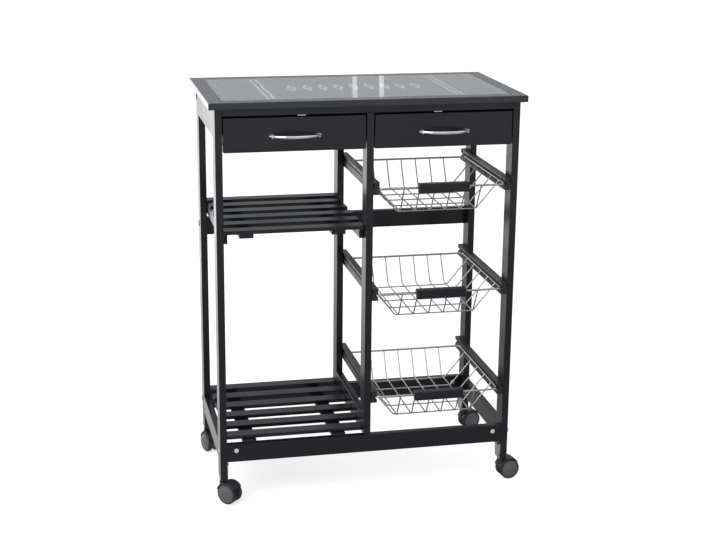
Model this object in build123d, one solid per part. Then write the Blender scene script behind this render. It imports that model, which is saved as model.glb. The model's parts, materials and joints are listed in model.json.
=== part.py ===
from build123d import *

import math
import os

# A kitchen cart on four casters: a black wooden frame with a glass-inset top, two drawers, two
# slatted shelves on the left and three wire baskets on the right. Millimetres, +X to the right,
# -Y to the front, +Z up, floor at Z 0. Pieces are placed about the middle of the frame, and the
# last step moves them all so that the origin lies under the middle of the cart's outline.

# Overall frame
stand_height = 54.0
post_height = 806.0
post_thick = 15.0
post_depth = 40.0
frame_width = 644.0
frame_depth = 340.0
board_ease = 1.0

# Tabletop
top_overhang = 13.0
top_end_overhang = 10.0
top_thick = 14.0
ledge_width = 8.0
ledge_thick = 3.0
glass_thick = 4.0
glass_gap = 0.3

# Rails between the posts
rail_height = 40.0
rail_thick = 15.0
bottom_rail_lift = 42.0
cross_rail_lift = 465.0
apron_height = 62.0
front_top_rail_thick = 15.0

# Connector bolts, barrel nuts and dowels
bolt_radius = 3.0
bolt_head_radius = 6.5
bolt_head_thick = 2.5
bolt_socket_radius = 2.3
bolt_socket_depth = 1.6
bolt_end = 4.0
nut_radius = 5.0
nut_recess = 0.5
nut_inset = 20.0
nut_skin = 2.5
bolt_rise = 5.5
dowel_radius = 4.0
dowel_drop = 10.0
dowel_in_end = 14.0
dowel_in_side = 10.0
middle_rail_dowel_rise = 20.0
hole_gap = 0.1

# Slatted shelves
slat_count = 6
slat_width = 30.0
slat_thick = 8.0
slat_end_gap = 0.5
slat_first_inset = 10.0
upper_shelf_lift = 550.5
batten_width = 30.0
batten_inset = 34.0
middle_batten_inset = 40.5
upper_batten_thick = 10.0
upper_batten_inset = 15.0
lower_batten_thick = 8.0
lower_batten_inset = 3.0
shelf_rail_thick = 10.0
shelf_rail_height = 21.5
shelf_rail_inset = 20.0

# Drawers
drawer_front_height = 71.0
drawer_front_thick = 15.0
drawer_front_gap = 2.0
drawer_top_gap = 4.0
drawer_front_ease = 1.5
drawer_side_thick = 12.0
drawer_side_height = 50.0
drawer_side_lift = 6.0
drawer_back_gap = 20.0
drawer_back_thick = 10.0
drawer_back_drop = 4.0
drawer_bottom_thick = 4.0
drawer_bottom_lift = 6.0
drawer_groove_deep = 4.0
slide_space = 6.0
slide_strip_height = 10.0
slide_groove_depth = 5.0
slide_gap = 0.3
slide_strip_end = 16.0
guide_offset = 143.5
guide_width = 18.0
guide_depth = 22.0
guide_thick = 2.6
guide_ease = 0.6
guide_inset = 3.0

# Drawer pull handles
pull_span = 96.0
pull_length = 110.0
pull_drop = 2.0
pull_reach = 28.0
pull_end_reach = 3.2
pull_half_tall = 3.4
pull_half_deep = 3.0
pull_end_half = 2.2
pull_fullness = 0.6
pull_leg_radius = 4.0
pull_sections = 9
pull_screw_radius = 2.0
pull_screw_depth = 6.0
pull_screw_head_radius = 3.8
pull_screw_head_thick = 2.4

# Wire baskets
basket_count = 3
basket_rim_lift = 168.5
top_rim_drop = 85.5
basket_depth = 62.0
basket_front_out = 2.0
basket_back_gap = 41.0
basket_side_taper = 50.0
basket_end_taper = 33.0
rim_radius = 2.25
rim_corner = 12.0
mesh_radius = 1.5
mesh_bend = 8.0
mesh_gap = 0.05
long_wire_count = 6
long_wire_pitch = 33.5
cross_wire_count = 5
cross_wire_inset = 46.0

# Basket handles and runners
grip_length = 110.0
grip_height = 20.0
grip_depth = 18.0
grip_plate = 11.5
grip_ease = 2.5
grip_gap = 0.1
runner_width = 14.0
runner_height = 26.0
runner_back_gap = 5.0
runner_recess = 1.0
runner_flange = 3.0
runner_strip_height = 5.0
runner_strip_edge = 0.7
runner_back_relief = 2.0
runner_back_relief_low = 15.5
runner_back_relief_high = 24.0
rim_inset = 2.0
rim_gap = 0.3

# Casters and their brackets
wheel_radius = 23.0
wheel_stack = 38.4
wheel_inner_gap = 10.0
wheel_tread = 7.5
wheel_edge = 1.5
wheel_disc_radius = 18.6
wheel_disc_step = 0.7
wheel_dome_share = 0.6
wheel_dome_drop = 0.25
caster_trail = 17.5
web_thick = 9.0
web_hub_radius = 8.0
hood_gap = 0.8
hood_thick = 1.8
hood_half_width = 14.6
hood_ease = 0.8
hood_start = 34.0
hood_end = 166.0
swivel_boss_radius = 8.0
swivel_gap = 0.4
axle_radius = 2.5
axle_end_gap = 0.5
axle_bore_depth = 11.0
running_gap = 0.06
stem_radius = 3.0
stem_below = 24.0
stem_above = 20.0
bracket_thick = 2.0
bracket_height = 40.0
bracket_width = 34.0
bracket_base_width = 26.0
bracket_corner = 12.0
caster_angles = {"front_left": 316.0, "front_right": 9.0, "back_left": 290.0, "back_right": 14.0}

# Small screws
screw_radius = 1.7
screw_head_radius = 3.4
screw_head_thick = 2.0
screw_bite = 11.0
bracket_screw_lift = 32.0
bracket_screw_pitch = 16.0
runner_screw_head_radius = 2.3
runner_screw_inset = 20.0
runner_screw_back_inset = 15.0
shelf_screw_sink = 4.0
shelf_screw_bite = 9.0

# Levels and planes that follow from the sizes above
half_width = frame_width / 2
half_depth = frame_depth / 2
top_width = frame_width + 2 * top_overhang
top_depth = frame_depth + 2 * top_end_overhang
top_border = post_thick + top_overhang
inner_face = half_width - post_thick
post_inner_y = half_depth - post_depth
rail_inner_y = half_depth - rail_thick
middle_face = post_thick / 2
bay_width = inner_face - middle_face
bay_centre = (inner_face + middle_face) / 2
post_top = stand_height + post_height
top_surface = post_top + top_thick
bottom_rail_z = stand_height + bottom_rail_lift
bottom_rail_top = bottom_rail_z + rail_height
cross_rail_z = stand_height + cross_rail_lift
apron_z = post_top - apron_height
front_top_rail_z = post_top - front_top_rail_thick
upper_slat_top = stand_height + upper_shelf_lift
upper_slat_z = upper_slat_top - slat_thick
lower_batten_z = bottom_rail_top
lower_slat_z = lower_batten_z + lower_batten_thick
drawer_front_z = front_top_rail_z - drawer_top_gap - drawer_front_height
drawer_side_z = drawer_front_z + drawer_side_lift
drawer_box_y = -half_depth + drawer_front_thick
drawer_length = frame_depth - drawer_front_thick - rail_thick - drawer_back_gap
pull_z = drawer_front_z + drawer_front_height / 2 - pull_drop
drawer_half_box = bay_width / 2 - slide_space
slide_strip_z = apron_z + rail_thick / 2
bracket_z = stand_height - bracket_thick
stem_x = half_width - post_thick / 2
stem_y = half_depth - post_depth / 2
first_rim_z = stand_height + basket_rim_lift
basket_pitch = (drawer_front_z - top_rim_drop - first_rim_z) / (basket_count - 1)
rim_half_x = bay_width / 2 - runner_width + rim_inset
rim_front_y = -half_depth - basket_front_out
basket_length = frame_depth + basket_front_out - basket_back_gap
runner_length = frame_depth - runner_back_gap
rim_back_y = rim_front_y + basket_length
rim_mid_y = (rim_front_y + rim_back_y) / 2

corners = {
    "front_left": (-1, -1),
    "front_right": (1, -1),
    "back_left": (-1, 1),
    "back_right": (1, 1),
}
sides = {"left": -1, "right": 1}


def board(low, high, ease=board_ease):
    """A plain board between two corners, with its edges eased."""
    (x0, x1), (y0, y1), (z0, z1) = (sorted(pair) for pair in zip(low, high))
    block = Box(x1 - x0, y1 - y0, z1 - z0, align=(Align.MIN, Align.MIN, Align.MIN))
    block = Pos(x0, y0, z0) * block
    return fillet(block.edges(), ease) if ease else block


def rod(start, direction, length, radius):
    """A round bar from a point, along a direction."""
    bar = Cylinder(radius, length, align=(Align.CENTER, Align.CENTER, Align.MIN))
    return Plane(origin=start, z_dir=direction) * bar


def meet(a, b):
    """Whether two boxes meet."""
    pairs = ((a.min.X, b.max.X), (a.min.Y, b.max.Y), (a.min.Z, b.max.Z))
    back = ((b.min.X, a.max.X), (b.min.Y, a.max.Y), (b.min.Z, a.max.Z))
    return all(low < high for low, high in pairs + back)


def boxed(holes):
    """Each hole with the box round it, worked out once."""
    return [(hole, hole.bounding_box()) for hole in holes]


def drill(piece, boxed_holes):
    """The piece with each hole that meets it cut away."""
    box = piece.bounding_box()
    meeting = [hole for hole, hole_box in boxed_holes if meet(box, hole_box)]
    return piece - meeting if meeting else piece


def group(shapes):
    """Several separate solids that share one node."""
    return Compound([solid for shape in shapes for solid in shape.solids()])


def outer_post(side, end):
    """A post at a corner of the frame."""
    low = (side * inner_face, end * post_inner_y, stand_height)
    return board(low, (side * half_width, end * half_depth, post_top))


def posts():
    """The four corner posts and the two that part the bays."""
    made = {f"{name}_post": outer_post(*corner) for name, corner in corners.items()}
    low = (-middle_face, -half_depth, bottom_rail_top)
    made["front_middle_post"] = board(low, (middle_face, -post_inner_y, front_top_rail_z))
    low = (-middle_face, post_inner_y, bottom_rail_top)
    back = board(low, (middle_face, half_depth, post_top))
    for z, height in ((cross_rail_z, rail_height), (apron_z, apron_height)):
        back -= board((-post_thick, rail_inner_y, z), (post_thick, frame_depth, z + height), 0)
    made["back_middle_post"] = back
    return made


def long_rail(end, z, height):
    """A rail across the whole cart, flush with the posts' outer faces."""
    low = (-inner_face, end * rail_inner_y, z)
    return board(low, (inner_face, end * half_depth, z + height))


def side_rail(centre, z, height):
    """A rail from the front posts to the back posts."""
    low = (centre - rail_thick / 2, -post_inner_y, z)
    return board(low, (centre + rail_thick / 2, post_inner_y, z + height))


def rails():
    """Every rail of the frame."""
    outer = half_width - rail_thick / 2
    top_low = (-inner_face, -half_depth, front_top_rail_z)
    return {
        "front_bottom_rail": long_rail(-1, bottom_rail_z, rail_height),
        "back_bottom_rail": long_rail(1, bottom_rail_z, rail_height),
        "back_cross_rail": long_rail(1, cross_rail_z, rail_height),
        "back_top_rail": long_rail(1, apron_z, apron_height),
        "front_top_rail": board(top_low, (inner_face, -post_inner_y, post_top)),
        "left_bottom_rail": side_rail(-outer, bottom_rail_z, rail_height),
        "right_bottom_rail": side_rail(outer, bottom_rail_z, rail_height),
        "middle_bottom_rail": side_rail(0, bottom_rail_top, rail_height),
        "left_top_rail": side_rail(-outer, apron_z, apron_height),
        "right_top_rail": side_rail(outer, apron_z, apron_height),
        "middle_top_rail": side_rail(0, apron_z, apron_height),
    }


def mitred_side(half_long, half_across, z_low, z_high, width):
    """A strip along -Y of a rectangle, cut at 45 degrees at both ends."""
    outline = Polyline(
        (-half_long, -half_across),
        (half_long, -half_across),
        (half_long - width, -half_across + width),
        (-half_long + width, -half_across + width),
        close=True,
    )
    return Pos(0, 0, z_low) * extrude(make_face(outline), z_high - z_low)


def top_frame_board(long, across, turn):
    """One mitred border board: its full depth outside, a ledge for the panel inside."""
    ledge = mitred_side(long, across, post_top, post_top + ledge_thick, top_border + ledge_width)
    border = mitred_side(long, across, post_top, top_surface, top_border)
    piece = (ledge + border).clean()
    outer = piece.edges().filter_by(Axis.X).group_by(Axis.Y)[0]
    return Rot(0, 0, turn) * fillet(outer, board_ease)


def tabletop():
    """Four mitred boards, the printed panel on their ledge and the glass over it."""
    long, across = top_width / 2, top_depth / 2
    boards = [top_frame_board(long, across, turn) for turn in (0, 180)]
    boards += [top_frame_board(across, long, turn) for turn in (90, 270)]
    x, y = long - top_border, across - top_border
    panel = board((-x, -y, post_top + ledge_thick), (x, y, top_surface - glass_thick), 0)
    x, y = x - glass_gap, y - glass_gap
    glass = board((-x, -y, top_surface - glass_thick), (x, y, top_surface), 0)
    glass = chamfer(glass.faces().sort_by(Axis.Z)[-1].edges(), board_ease / 2)
    return {"top_border_boards": group(boards), "top_panel": panel, "top_glass": glass}


def slat_rows():
    """The middle line of each slat, evenly spread from front to back."""
    first = half_depth - slat_first_inset - slat_width / 2
    step = 2 * first / (slat_count - 1)
    return [-first + step * row for row in range(slat_count)]


def slats(z):
    """One shelf's slats, across the left bay."""
    x0, x1 = -inner_face + slat_end_gap, -middle_face - slat_end_gap
    half = slat_width / 2
    return group(board((x0, y - half, z), (x1, y + half, z + slat_thick)) for y in slat_rows())


def battens(z_top, thick, inset):
    """The two strips that hold a shelf's slats together."""
    y = half_depth - inset
    starts = (-inner_face + batten_inset, -middle_face - middle_batten_inset - batten_width)
    return group(
        board((x, -y, z_top - thick), (x + batten_width, y, z_top)) for x in starts
    )


def shelf_rails():
    """Strips on the posts' inner faces that the upper slats rest on."""
    y = half_depth - shelf_rail_inset
    z = upper_slat_z - shelf_rail_height
    starts = (-inner_face, -middle_face - shelf_rail_thick)
    return group(
        board((x, -y, z), (x + shelf_rail_thick, y, upper_slat_z)) for x in starts
    )


def shelves():
    """The upper and lower slatted shelves of the left bay."""
    return {
        "upper_shelf_slats": slats(upper_slat_z),
        "upper_shelf_battens": battens(upper_slat_z, upper_batten_thick, upper_batten_inset),
        "upper_shelf_rails": shelf_rails(),
        "lower_shelf_slats": slats(lower_slat_z),
        "lower_shelf_battens": battens(lower_slat_z, lower_batten_thick, lower_batten_inset),
    }


def drawer_box(side):
    """Two grooved sides and a back."""
    centre = side * bay_centre
    y_back = drawer_box_y + drawer_length
    z_top = drawer_side_z + drawer_side_height
    bottom = drawer_bottom(side)
    made = []
    for hand in (-1, 1):
        outer = centre + hand * drawer_half_box
        inner = outer - hand * drawer_side_thick
        piece = board((outer, drawer_box_y, drawer_side_z), (inner, y_back, z_top))
        groove_low = (outer + hand, drawer_box_y, slide_strip_z - slide_gap)
        groove_high = (
            outer - hand * slide_groove_depth,
            y_back,
            slide_strip_z + slide_strip_height + slide_gap,
        )
        made.append(piece - board(groove_low, groove_high, 0) - bottom)
    x = drawer_half_box - drawer_side_thick
    z = drawer_side_z + drawer_bottom_lift + drawer_bottom_thick
    low = (centre - x, y_back - drawer_back_thick, z)
    made.append(board(low, (centre + x, y_back, z_top - drawer_back_drop)))
    return group(made)


def drawer_bottom(side):
    """The thin bottom, let into grooves in the sides and the front."""
    x = drawer_half_box - drawer_side_thick + drawer_groove_deep
    z = drawer_side_z + drawer_bottom_lift
    low = (side * bay_centre - x, drawer_box_y - drawer_groove_deep, z)
    high = (side * bay_centre + x, drawer_box_y + drawer_length, z + drawer_bottom_thick)
    return board(low, high, 0)


def drawer_front(side):
    """The front, with the groove that holds the bottom."""
    x = bay_width / 2 - drawer_front_gap
    low = (side * bay_centre - x, -half_depth, drawer_front_z)
    high = (side * bay_centre + x, drawer_box_y, drawer_front_z + drawer_front_height)
    return board(low, high, drawer_front_ease) - drawer_bottom(side)


def pull_screws(side):
    """The two screws that hold a pull, put in from inside the drawer."""
    length = drawer_front_thick + pull_screw_depth
    made = []
    for hand in (-1, 1):
        seat = (side * bay_centre + hand * pull_span / 2, drawer_box_y, pull_z)
        shank = rod(seat, (0, -1, 0), length, pull_screw_radius)
        made.append(shank + rod(seat, (0, 1, 0), pull_screw_head_thick, pull_screw_head_radius))
    return made


def pull_screw_holes(side):
    """The holes for those screws."""
    length = drawer_front_thick + pull_screw_depth + hole_gap
    starts = [side * bay_centre + hand * pull_span / 2 for hand in (-1, 1)]
    return [
        rod((x, drawer_box_y, pull_z), (0, -1, 0), length, pull_screw_radius + hole_gap)
        for x in starts
    ]


def pull(side):
    """A bow handle: a bar that thins to its ends, on two feet, with its screws."""
    centre = side * bay_centre
    ends_y, middle_y = -half_depth - pull_end_reach, -half_depth - pull_reach
    half_chord, rise = pull_length / 2, pull_reach - pull_end_reach
    bow = ThreePointArc(
        (centre - half_chord, ends_y, pull_z),
        (centre, middle_y, pull_z),
        (centre + half_chord, ends_y, pull_z),
    )
    bow_radius = (half_chord ** 2 + rise ** 2) / (2 * rise)
    sag_at_foot = bow_radius - math.sqrt(bow_radius ** 2 - (pull_span / 2) ** 2)
    foot_reach = pull_reach - sag_at_foot
    outlines = []
    for step in range(pull_sections):
        at = step / (pull_sections - 1)
        fullness = math.sin(math.pi * at) ** pull_fullness
        tall = pull_end_half + (pull_half_tall - pull_end_half) * fullness
        deep = pull_end_half + (pull_half_deep - pull_end_half) * fullness
        plane = Plane(origin=bow @ at, x_dir=(0, 0, 1), z_dir=bow % at)
        outlines.append(plane * Ellipse(tall, deep))
    bar = loft(outlines)
    for hand in (-1, 1):
        start = (centre + hand * pull_span / 2, -half_depth, pull_z)
        bar += rod(start, (0, -1, 0), foot_reach, pull_leg_radius)
    return group([bar.solid() - pull_screw_holes(side), *pull_screws(side)])


def drawers():
    """Both drawers, each a front, a box, a bottom and a pull."""
    made = {}
    for name, side in sides.items():
        made[f"{name}_drawer_front"] = drawer_front(side) - pull_screw_holes(side)
        made[f"{name}_drawer_box"] = drawer_box(side)
        made[f"{name}_drawer_bottom"] = drawer_bottom(side)
        made[f"{name}_drawer_pull"] = pull(side)
    return made


def slide_strips():
    """The strips on the aprons and the middle rail that the drawers' grooves run on."""
    reach = slide_space + slide_groove_depth - slide_gap
    z0, z1 = slide_strip_z, slide_strip_z + slide_strip_height
    y0, y1 = drawer_box_y + slide_gap, half_depth - slide_strip_end
    made = []
    for side in sides.values():
        for face, hand in ((inner_face, -1), (middle_face, 1)):
            x = side * face
            made.append(board((x, y0, z0), (x + side * hand * reach, y1, z1)))
    return group(made)


def drawer_guides():
    """Thin metal plates under the front rail, one over each drawer front."""
    y = -half_depth + guide_inset
    return group(
        board(
            (side * guide_offset - guide_width / 2, y, front_top_rail_z - guide_thick),
            (side * guide_offset + guide_width / 2, y + guide_depth, front_top_rail_z),
            guide_ease,
        )
        for side in sides.values()
    )


def bent_wire(points, corner, radius, closed=False):
    """A round wire along straight runs joined by arcs."""
    path = FilletPolyline(*points, radius=corner, close=closed)
    profile = Plane(origin=path @ 0, z_dir=path % 0) * Circle(radius)
    return sweep(profile, path=path)


def basket_wires(rim_z):
    """A rim, wires from front to back and, under them, wires from side to side."""
    bottom_z = rim_z - basket_depth + mesh_radius
    long_z = bottom_z + 2 * mesh_radius + mesh_gap
    corners_at = ((-1, -1), (1, -1), (1, 1), (-1, 1))
    rim_points = [
        (bay_centre + hand * rim_half_x, rim_mid_y + end * basket_length / 2, rim_z)
        for hand, end in corners_at
    ]
    rim = bent_wire(rim_points, rim_corner, rim_radius, closed=True)
    made = [rim]
    start = rim_radius + mesh_gap
    for count in range(long_wire_count):
        x = bay_centre + (count - (long_wire_count - 1) / 2) * long_wire_pitch
        drop = rim_z - long_z
        slope = math.hypot(basket_end_taper, drop)
        y_off, z_off = start * basket_end_taper / slope, start * drop / slope
        points = (
            (x, rim_front_y + y_off, rim_z - z_off),
            (x, rim_front_y + basket_end_taper, long_z),
            (x, rim_back_y - basket_end_taper, long_z),
            (x, rim_back_y - y_off, rim_z - z_off),
        )
        made.append(bent_wire(points, mesh_bend, mesh_radius))
    for count in range(cross_wire_count):
        span = basket_length - 2 * cross_wire_inset
        y = rim_front_y + cross_wire_inset + span * count / (cross_wire_count - 1)
        drop = rim_z - bottom_z
        slope = math.hypot(basket_side_taper, drop)
        x_off, z_off = start * basket_side_taper / slope, start * drop / slope
        points = (
            (bay_centre - rim_half_x + x_off, y, rim_z - z_off),
            (bay_centre - rim_half_x + basket_side_taper, y, bottom_z),
            (bay_centre + rim_half_x - basket_side_taper, y, bottom_z),
            (bay_centre + rim_half_x - x_off, y, rim_z - z_off),
        )
        made.append(bent_wire(points, mesh_bend, mesh_radius))
    return group(made)


def basket_grip(rim_z):
    """A wooden block hooked over the front of the rim."""
    y_front = rim_front_y - rim_radius - grip_gap - grip_plate
    low = (bay_centre - grip_length / 2, y_front, rim_z - grip_height / 2)
    high = (bay_centre + grip_length / 2, y_front + grip_depth, rim_z + grip_height / 2)
    cut_low = (low[0] - 1, y_front + grip_plate, low[2] - 1)
    cut_high = (high[0] + 1, high[1] + 1, rim_z + rim_radius + grip_gap)
    return board(low, high, grip_ease) - board(cut_low, cut_high, 0)


def baskets():
    """The three baskets, named from the top down."""
    made = {}
    for count, name in enumerate(("bottom", "middle", "top")):
        rim_z = first_rim_z + basket_pitch * count
        made[f"{name}_basket_wires"] = basket_wires(rim_z)
        made[f"{name}_basket_grip"] = basket_grip(rim_z)
    return made


def runner_outline():
    """A runner's section, from the post's face at 0: ribbed, with a notch for the rim."""
    lean = math.atan2(basket_depth - mesh_radius, basket_side_taper)
    half_at_rim = (rim_radius + rim_gap) / math.cos(lean)
    half_mouth = half_at_rim + rim_inset * math.tan(lean)
    notch_depth = rim_inset + half_at_rim / math.tan(lean)
    mid = runner_height / 2
    face, recess = runner_width, runner_width - runner_recess
    strip_high = runner_height - runner_strip_edge
    strip_low = strip_high - runner_strip_height
    return Polyline(
        (0, 0),
        (face, 0),
        (face, runner_flange),
        (recess, runner_flange + runner_recess),
        (recess, mid - half_mouth - runner_recess),
        (face, mid - half_mouth),
        (face - notch_depth, mid),
        (face, mid + half_mouth),
        (recess, mid + half_mouth),
        (recess, strip_low),
        (recess, strip_high),
        (face, strip_high),
        (face, runner_height),
        (0, runner_height),
        (0, runner_back_relief_high),
        (runner_back_relief, runner_back_relief_high),
        (runner_back_relief, runner_back_relief_low),
        (0, runner_back_relief_low),
        close=True,
    )


def basket_runners():
    """Two runners for each basket, on the faces of the posts beside the right bay."""
    bar = extrude(Plane.XZ * make_face(runner_outline()), runner_length, dir=(0, 1, 0))
    made = []
    for count in range(basket_count):
        z = first_rim_z + basket_pitch * count - runner_height / 2
        made.append(Pos(middle_face, -half_depth, z) * bar)
        made.append(mirror(Pos(-inner_face, -half_depth, z) * bar, Plane.YZ))
    return made


def bolt_places():
    """Where each connector bolt enters a corner post: its side, Y, Z and its nut's face.

    The nuts go in from the front face, -1, in the bottom rails and from the back, 1, above.
    """
    mid_y = half_depth - rail_thick / 2
    heights = (
        (-mid_y, bottom_rail_z + rail_height / 2 + bolt_rise, -1),
        (mid_y, bottom_rail_z + rail_height / 2 + bolt_rise, -1),
        (mid_y, cross_rail_z + rail_height / 2 + bolt_rise, 1),
        (mid_y, apron_z + apron_height / 2 + bolt_rise, 1),
    )
    return [(side, y, z, face) for side in sides.values() for y, z, face in heights]


def bolt_length():
    """From under the head, through the post and past the barrel nut."""
    return post_thick + nut_inset + bolt_end


def frame_bolts():
    """Flat-headed connector bolts through the posts into the rails' ends."""
    made = []
    for side, y, z, _ in bolt_places():
        start, inward = (side * half_width, y, z), (-side, 0, 0)
        shank = rod(start, inward, bolt_length(), bolt_radius)
        head = rod(start, (side, 0, 0), bolt_head_thick, bolt_head_radius)
        face = (side * (half_width + bolt_head_thick), y, z)
        socket = rod(face, inward, bolt_socket_depth, bolt_socket_radius)
        made.append(shank + head - socket)
    return made


def barrel_nuts():
    """Cross nuts that the bolts screw into, let in from one face of each rail."""
    made = []
    for side, y, z, face in bolt_places():
        start = (side * (inner_face - nut_inset), y + face * (rail_thick / 2 - nut_recess), z)
        nut = rod(start, (0, -face, 0), rail_thick - nut_recess - nut_skin, nut_radius)
        hole = rod((side * half_width, y, z), (-side, 0, 0), frame_width / 2, bolt_radius + hole_gap)
        made.append(nut - hole)
    return made


def bolt_holes():
    """The holes for the bolts and their nuts."""
    made = []
    for side, y, z, face in bolt_places():
        start = (side * half_width, y, z)
        length = bolt_length() + hole_gap
        made.append(rod(start, (-side, 0, 0), length, bolt_radius + hole_gap))
        mouth = (side * (inner_face - nut_inset), y + face * rail_thick / 2, z)
        depth = rail_thick - nut_skin + hole_gap
        made.append(rod(mouth, (0, -face, 0), depth, nut_radius + hole_gap))
    return made


def dowel_places():
    """Where each dowel crosses its joint, and its direction into the side it bites less."""
    made = []
    for side, y, z, _ in bolt_places():
        made.append(((side * inner_face, y, z - bolt_rise - dowel_drop), (side, 0, 0)))
    rail_mid = front_top_rail_z + front_top_rail_thick / 2
    made += [((side * inner_face, -stem_y, rail_mid), (side, 0, 0)) for side in sides.values()]
    for end in (-1, 1):
        for x in (-stem_x, stem_x):
            made.append(((x, end * post_inner_y, bottom_rail_z + rail_height / 2), (0, end, 0)))
            made.append(((x, end * post_inner_y, apron_z + apron_height / 2), (0, end, 0)))
        made.append(((0, end * post_inner_y, bottom_rail_top + rail_height / 2), (0, end, 0)))
        made.append(((0, end * post_inner_y, apron_z + middle_rail_dowel_rise), (0, end, 0)))
        made.append(((0, end * (half_depth - rail_thick / 2), bottom_rail_top), (0, 0, -1)))
    made += [((side * stem_x, end * stem_y, post_top), (0, 0, 1)) for side, end in corners.values()]
    made.append(((0, -stem_y, front_top_rail_z), (0, 0, 1)))
    return made


def dowels(gap=0.0):
    """Wooden pins across the glued joints, or with a gap the holes for them."""
    made = []
    for point, direction in dowel_places():
        start = tuple(p - (dowel_in_end + gap) * d for p, d in zip(point, direction))
        length = dowel_in_end + dowel_in_side + 2 * gap
        made.append(rod(start, direction, length, dowel_radius + gap))
    return made


def wheel(hand):
    """One domed wheel about the Y axis, on the +Y or -Y side of the caster."""
    inner, outer = wheel_inner_gap / 2, wheel_stack / 2
    tread = inner + wheel_edge + wheel_tread
    bore = axle_radius + running_gap
    step = tread + wheel_edge + wheel_disc_step
    with_bore = inner + axle_bore_depth
    dome_mid = (wheel_disc_radius * wheel_dome_share, outer - (outer - tread) * wheel_dome_drop)
    round_in = wheel_edge * (1 - math.sqrt(0.5))
    outline = [
        Line((0, with_bore), (0, outer)),
        ThreePointArc((0, outer), dome_mid, (wheel_disc_radius, tread + wheel_edge)),
        Line((wheel_disc_radius, tread + wheel_edge), (wheel_disc_radius + wheel_disc_step, step)),
        ThreePointArc((wheel_disc_radius + wheel_disc_step, step),
                      (wheel_radius - wheel_edge / 2, tread + wheel_edge),
                      (wheel_radius, tread)),
        Line((wheel_radius, tread), (wheel_radius, inner + wheel_edge)),
        ThreePointArc((wheel_radius, inner + wheel_edge),
                      (wheel_radius - round_in, inner + round_in),
                      (wheel_radius - wheel_edge, inner)),
        Line((wheel_radius - wheel_edge, inner), (bore, inner)),
        Line((bore, inner), (bore, with_bore)),
        Line((bore, with_bore), (0, with_bore)),
    ]
    turned = revolve(make_face(outline), Axis.Y)
    return turned if hand > 0 else mirror(turned, Plane.XZ)


def sector(radius, start, end, half_thick):
    """A slice of a disc about the Y axis, its angles counted from +X up."""
    span = end - start
    points = [
        (radius * math.cos(math.radians(a)), radius * math.sin(math.radians(a)))
        for a in (start, start + span / 2, end)
    ]
    face = make_face([Line((0, 0), points[0]), ThreePointArc(*points), Line(points[2], (0, 0))])
    return extrude(Plane.XZ * face, half_thick, both=True)


def caster_hood():
    """The web between the wheels, the hood over them and the swivel boss, about the axle."""
    inner_radius = wheel_radius + hood_gap
    middle_radius = inner_radius + hood_thick / 2
    boss_top = bracket_z - swivel_gap - wheel_radius
    boss = rod((-caster_trail, 0, 0), (0, 0, 1), boss_top, swivel_boss_radius)
    boss -= rod((0, -wheel_stack, 0), (0, 1, 0), 2 * wheel_stack, inner_radius)
    section = Pos(middle_radius, 0) * RectangleRounded(hood_thick, 2 * hood_half_width, hood_ease)
    upward = Axis((0, 0, 0), (0, -1, 0))
    hood = revolve(Rot(0, -hood_start, 0) * section, upward, hood_end - hood_start) + boss
    web = sector(middle_radius, hood_start, hood_end, web_thick / 2)
    web += rod((0, -web_thick / 2, 0), (0, 1, 0), web_thick, web_hub_radius)
    whole = hood + web
    whole -= rod((0, -web_thick, 0), (0, 1, 0), 2 * web_thick, axle_radius + hole_gap)
    stem_low = bracket_z - stem_below - wheel_radius - running_gap
    stem_hole = rod((-caster_trail, 0, stem_low), (0, 0, 1), stand_height,
                    stem_radius + running_gap)
    return (whole - stem_hole).solid()


def caster_axle():
    """The pin through both wheels."""
    half = wheel_inner_gap / 2 + axle_bore_depth - axle_end_gap
    return rod((0, -half, 0), (0, 1, 0), 2 * half, axle_radius)


def caster_place(name):
    """Where a caster's axle lies: turned about its stem, at wheel height."""
    side, end = corners[name]
    turn = Rot(0, 0, caster_angles[name])
    return Pos(side * stem_x, end * stem_y, wheel_radius) * turn * Pos(caster_trail, 0, 0)


def casters():
    """Four swivel casters, each a hood with its axle and two wheels."""
    made = {}
    for name in corners:
        place = caster_place(name)
        made[f"{name}_caster_body"] = group([place * caster_hood(), place * caster_axle()])
        made[f"{name}_caster_wheel_1"] = place * wheel(-1)
        made[f"{name}_caster_wheel_2"] = place * wheel(1)
    return made


def bracket(side, end):
    """An angle plate: one leg under the post, one up its inner face."""
    x, y = side * inner_face, end * stem_y
    half_base, half_top = bracket_base_width / 2, bracket_width / 2
    shoulder = bracket_height / 2
    outline = Polyline(
        (y - half_base, bracket_z),
        (y + half_base, bracket_z),
        (y + half_top, bracket_z + shoulder),
        (y + half_top, bracket_z + bracket_height),
        (y - half_top, bracket_z + bracket_height),
        (y - half_top, bracket_z + shoulder),
        close=True,
    )
    leg = extrude(Plane.YZ * make_face(outline), bracket_thick)
    leg = fillet(leg.edges().filter_by(Axis.X).group_by(Axis.Z)[-1], bracket_corner)
    leg = Pos(x, 0, 0) * leg if side < 0 else Pos(x - bracket_thick, 0, 0) * leg
    low = (x - side * bracket_thick, y - half_base, bracket_z)
    foot = board(low, (side * half_width, y + half_base, stand_height), 0)
    return leg + foot


def stem(side, end):
    """The pin that a caster turns on, from its web up into the post."""
    start = (side * stem_x, end * stem_y, bracket_z - stem_below)
    return rod(start, (0, 0, 1), stem_below + bracket_thick + stem_above, stem_radius)


def stem_holes():
    """The holes for the stems in the brackets and the posts."""
    length = bracket_thick + stem_above + hole_gap
    return [
        rod((side * stem_x, end * stem_y, bracket_z), (0, 0, 1), length, stem_radius + hole_gap)
        for side, end in corners.values()
    ]


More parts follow.
